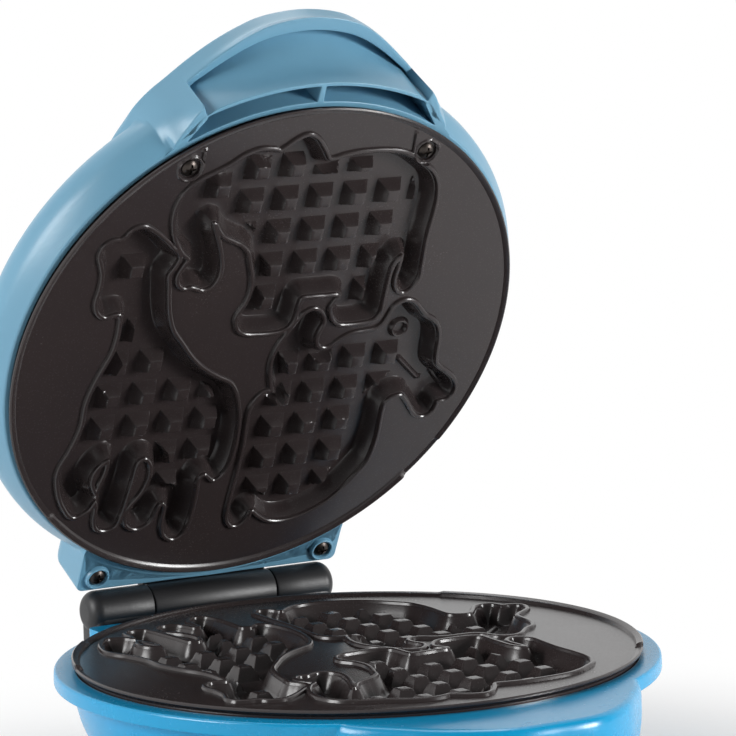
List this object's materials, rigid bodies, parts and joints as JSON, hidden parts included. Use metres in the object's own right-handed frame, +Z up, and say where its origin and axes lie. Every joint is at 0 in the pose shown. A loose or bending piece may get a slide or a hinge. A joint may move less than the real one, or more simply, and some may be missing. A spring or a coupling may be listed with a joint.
{
  "type": "waffle_maker",
  "caption": "Countertop waffle maker with a hinged lid; both round plates hold studded cavities in the shapes of a giraffe, an elephant and a hippo",
  "frame": {"origin": "on the table the feet stand on, under the middle of the whole waffle maker's length and width with its lid open", "axes": "+X to the user's right, -Y towards the handle and the user, +Z up; the hinge is at +Y"},
  "size_m": [0.203, 0.248, 0.2668],
  "materials": {
    "lid_blue": "satin",
    "base_blue": "gloss",
    "non_stick": "satin",
    "heater_steel": "satin",
    "screw_steel": "polished",
    "aluminium": "satin",
    "insulator": "matte",
    "black_plastic": "satin",
    "rubber": "matte",
    "red_lens": "gloss",
    "green_lens": "gloss",
    "lamp_glass": "gloss"
  },
  "bodies": {
    "base": {"base_shell": "base_blue", "lower_plate": "non_stick", "lower_heater": "heater_steel", "lower_reflector": "aluminium", "lower_reflector_screw": "screw_steel", "thermostat_bracket": "aluminium", "thermostat": "insulator", "thermal_fuse": "screw_steel", "fuse_clip": "aluminium", "terminal_block": "insulator", "cord_gland": "black_plastic", "bottom_cover": "black_plastic", "hinge_pin": "screw_steel", "lower_plate_screw_left": "screw_steel", "lower_plate_screw_right": "screw_steel", "hinge_post_left": "black_plastic", "hinge_post_screw_left": "screw_steel", "hinge_post_right": "black_plastic", "hinge_post_screw_right": "screw_steel", "cover_screw_front": "screw_steel", "cover_screw_left": "screw_steel", "cover_screw_right": "screw_steel", "cover_screw_back": "screw_steel", "foot_front_left": "rubber", "foot_front_right": "rubber", "foot_back_left": "rubber", "foot_back_right": "rubber"},
    "lid": {"lid_shell": "lid_blue", "upper_plate": "non_stick", "upper_heater": "heater_steel", "upper_reflector": "aluminium", "upper_reflector_screw": "screw_steel", "hinge_barrel": "black_plastic", "lamp_holder": "insulator", "upper_plate_screw_left": "screw_steel", "upper_plate_screw_right": "screw_steel", "tail_screw_left": "screw_steel", "tail_screw_right": "screw_steel", "power_lens": "red_lens", "power_lamp": "lamp_glass", "ready_lens": "green_lens", "ready_lamp": "lamp_glass"}
  },
  "joints": [
    {"name": "lid_hinge", "type": "hinge", "parent": "base", "child": "lid", "pos_m": [0, 0.10725, 0.055], "axis": [-1, 0, 0], "range_deg": [-62, 43]}
  ]
}
